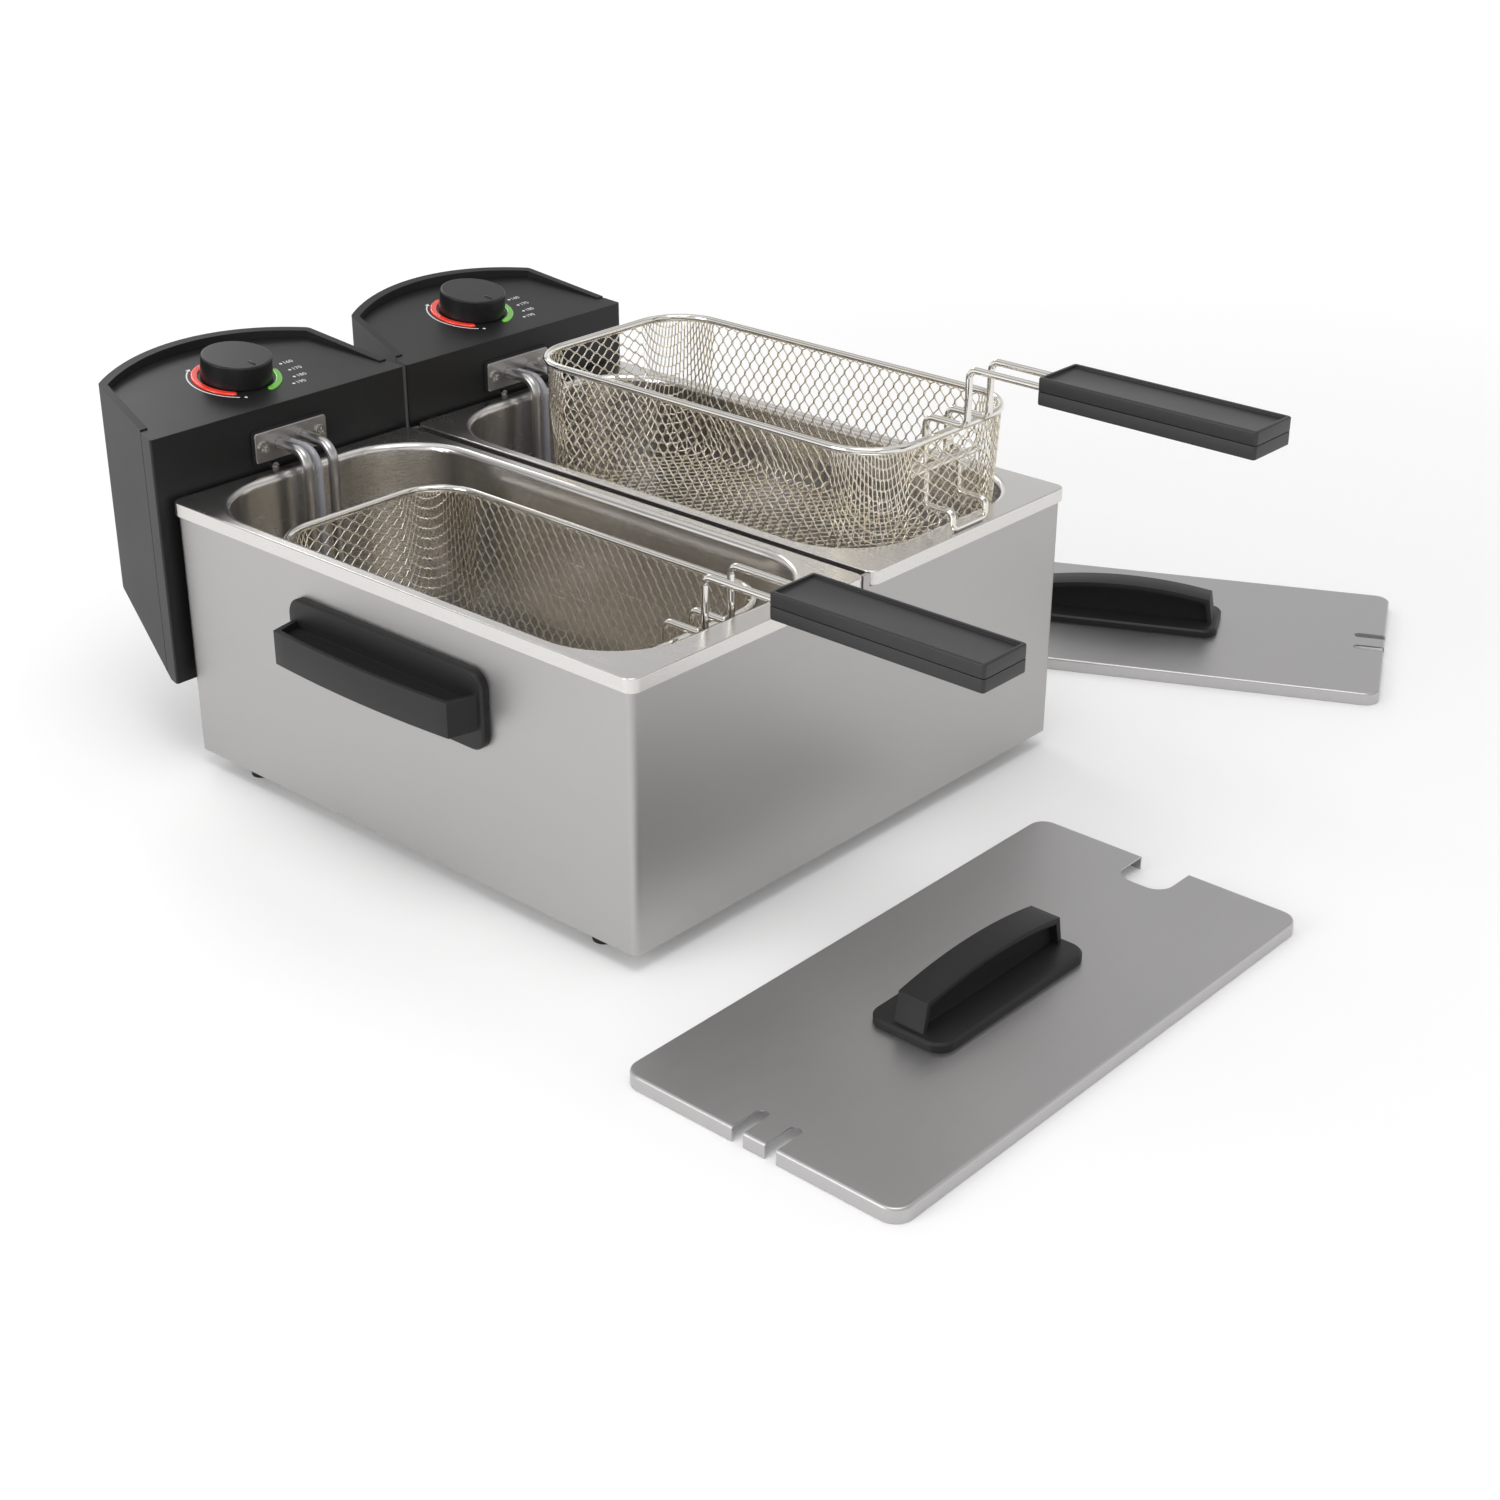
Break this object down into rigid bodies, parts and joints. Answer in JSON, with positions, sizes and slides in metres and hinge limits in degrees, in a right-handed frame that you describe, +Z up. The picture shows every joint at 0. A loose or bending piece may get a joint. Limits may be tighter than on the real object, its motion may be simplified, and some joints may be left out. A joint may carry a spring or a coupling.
{
  "type": "deep fryer",
  "caption": "Twin-tank deep fryer: brushed steel housing, lift-out tanks, rear control units with dials, wire baskets with folding grips, and lids.",
  "frame": {"origin": "on the table, under the middle of the housing", "axes": "+Z up, -Y to the front where the basket grips point, +X to the right seen from the front"},
  "size_m": [0.7671, 0.691, 0.268],
  "materials": {
    "brushed_housing_steel": "fine brushed, satin",
    "plain_steel": "mill finish",
    "foot_rubber": "matte",
    "fastener_steel": "zinc plated",
    "handle_plastic": "fine moulded texture",
    "tank_steel": "satin, drawn sheet",
    "control_plastic": "satin moulded",
    "knob_plastic": "satin moulded",
    "red_light": "glossy translucent",
    "green_light": "glossy translucent",
    "element_steel": "pickled stainless tube and plate",
    "gasket_rubber": "matte",
    "sleeve_plastic": "milky tube",
    "switch_plastic": "plain moulded",
    "button_red": "gloss",
    "chromed_wire": "bright chrome",
    "basket_wire": "bright tinned mesh",
    "lid_steel": "fine brushed, satin"
  },
  "bodies": {
    "root": {"housing_shell": "brushed_housing_steel", "base_plate": "plain_steel", "feet": "foot_rubber", "foot_screws": "fastener_steel", "side_handle_left": "handle_plastic", "side_handle_right": "handle_plastic", "side_handle_screws": "fastener_steel", "centre_rail": "plain_steel", "rear_guides": "plain_steel"},
    "lid_front": {"lid_plate_front": "lid_steel", "lid_handle_front": "handle_plastic", "lid_screws_front": "fastener_steel"},
    "lid_back": {"lid_plate_back": "lid_steel", "lid_handle_back": "handle_plastic", "lid_screws_back": "fastener_steel"},
    "tank_left": {"tank_left": "tank_steel"},
    "control_unit_left": {"control_front_cover_left": "control_plastic", "control_rear_cover_left": "control_plastic", "cover_screws_left": "fastener_steel", "thermostat_left": "switch_plastic", "red_light_guide_left": "red_light", "green_light_guide_left": "green_light", "element_gasket_left": "gasket_rubber", "element_plate_left": "element_steel", "plate_screws_left": "fastener_steel", "heating_element_left": "element_steel", "sensor_sleeve_left": "sleeve_plastic", "safety_switch_left": "switch_plastic", "cord_gland_left": "gasket_rubber"},
    "knob_left": {"knob_left": "knob_plastic"},
    "reset_button_left": {"reset_button_left": "button_red"},
    "basket_left": {"basket_mesh_left": "basket_wire", "basket_rim_left": "chromed_wire", "basket_frame_left": "chromed_wire"},
    "basket_handle_left": {"handle_wire_left": "chromed_wire", "handle_grip_lower_left": "handle_plastic", "handle_grip_upper_left": "handle_plastic"},
    "tank_right": {"tank_right": "tank_steel"},
    "control_unit_right": {"control_front_cover_right": "control_plastic", "control_rear_cover_right": "control_plastic", "cover_screws_right": "fastener_steel", "thermostat_right": "switch_plastic", "red_light_guide_right": "red_light", "green_light_guide_right": "green_light", "element_gasket_right": "gasket_rubber", "element_plate_right": "element_steel", "plate_screws_right": "fastener_steel", "heating_element_right": "element_steel", "sensor_sleeve_right": "sleeve_plastic", "safety_switch_right": "switch_plastic", "cord_gland_right": "gasket_rubber"},
    "knob_right": {"knob_right": "knob_plastic"},
    "reset_button_right": {"reset_button_right": "button_red"},
    "basket_right": {"basket_mesh_right": "basket_wire", "basket_rim_right": "chromed_wire", "basket_frame_right": "chromed_wire"},
    "basket_handle_right": {"handle_wire_right": "chromed_wire", "handle_grip_lower_right": "handle_plastic", "handle_grip_upper_right": "handle_plastic"}
  },
  "joints": [
    {"name": "tank_lift_left", "type": "slide", "parent": "root", "child": "tank_left", "axis": [0, 0, 1], "range_m": [0, 0.14]},
    {"name": "control_unit_lift_left", "type": "slide", "parent": "tank_left", "child": "control_unit_left", "axis": [0, 0, 1], "range_m": [0, 0.14]},
    {"name": "knob_turn_left", "type": "hinge", "parent": "control_unit_left", "child": "knob_left", "pos_m": [-0.095, 0.22858, 0.20998], "axis": [0, -0.1392, 0.9903], "range_deg": [-270, 0]},
    {"name": "reset_press_left", "type": "slide", "parent": "control_unit_left", "child": "reset_button_left", "axis": [0, -0.5325, 0.8465], "range_m": [0, 0.0015], "stiffness_N_per_m": 400},
    {"name": "basket_lift_left", "type": "slide", "parent": "control_unit_left", "child": "basket_left", "axis": [0, 0, 1], "range_m": [0, 0.12]},
    {"name": "handle_fold_left", "type": "hinge", "parent": "basket_left", "child": "basket_handle_left", "pos_m": [-0.0925, -0.13, 0.13], "axis": [-1, 0, 0], "range_deg": [0, 165]},
    {"name": "tank_lift_right", "type": "slide", "parent": "root", "child": "tank_right", "axis": [0, 0, 1], "range_m": [0, 0.14]},
    {"name": "control_unit_lift_right", "type": "slide", "parent": "tank_right", "child": "control_unit_right", "axis": [0, 0, 1], "range_m": [0, 0.14]},
    {"name": "knob_turn_right", "type": "hinge", "parent": "control_unit_right", "child": "knob_right", "pos_m": [0.095, 0.22858, 0.20998], "axis": [0, -0.1392, 0.9903], "range_deg": [-270, 0]},
    {"name": "reset_press_right", "type": "slide", "parent": "control_unit_right", "child": "reset_button_right", "axis": [0, -0.5325, 0.8465], "range_m": [0, 0.0015], "stiffness_N_per_m": 400},
    {"name": "basket_lift_right", "type": "slide", "parent": "control_unit_right", "child": "basket_right", "axis": [0, 0, 1], "range_m": [0, 0.06]},
    {"name": "handle_fold_right", "type": "hinge", "parent": "basket_right", "child": "basket_handle_right", "pos_m": [0.0925, -0.15409, 0.2], "axis": [-1, 0, 0], "range_deg": [0, 165]},
    {"name": "lid_lift_front", "type": "slide", "parent": "root", "child": "lid_front", "axis": [0, 0, 1], "range_m": [0, 0.06]},
    {"name": "lid_lift_back", "type": "slide", "parent": "root", "child": "lid_back", "axis": [0, 0, 1], "range_m": [0, 0.06]}
  ]
}
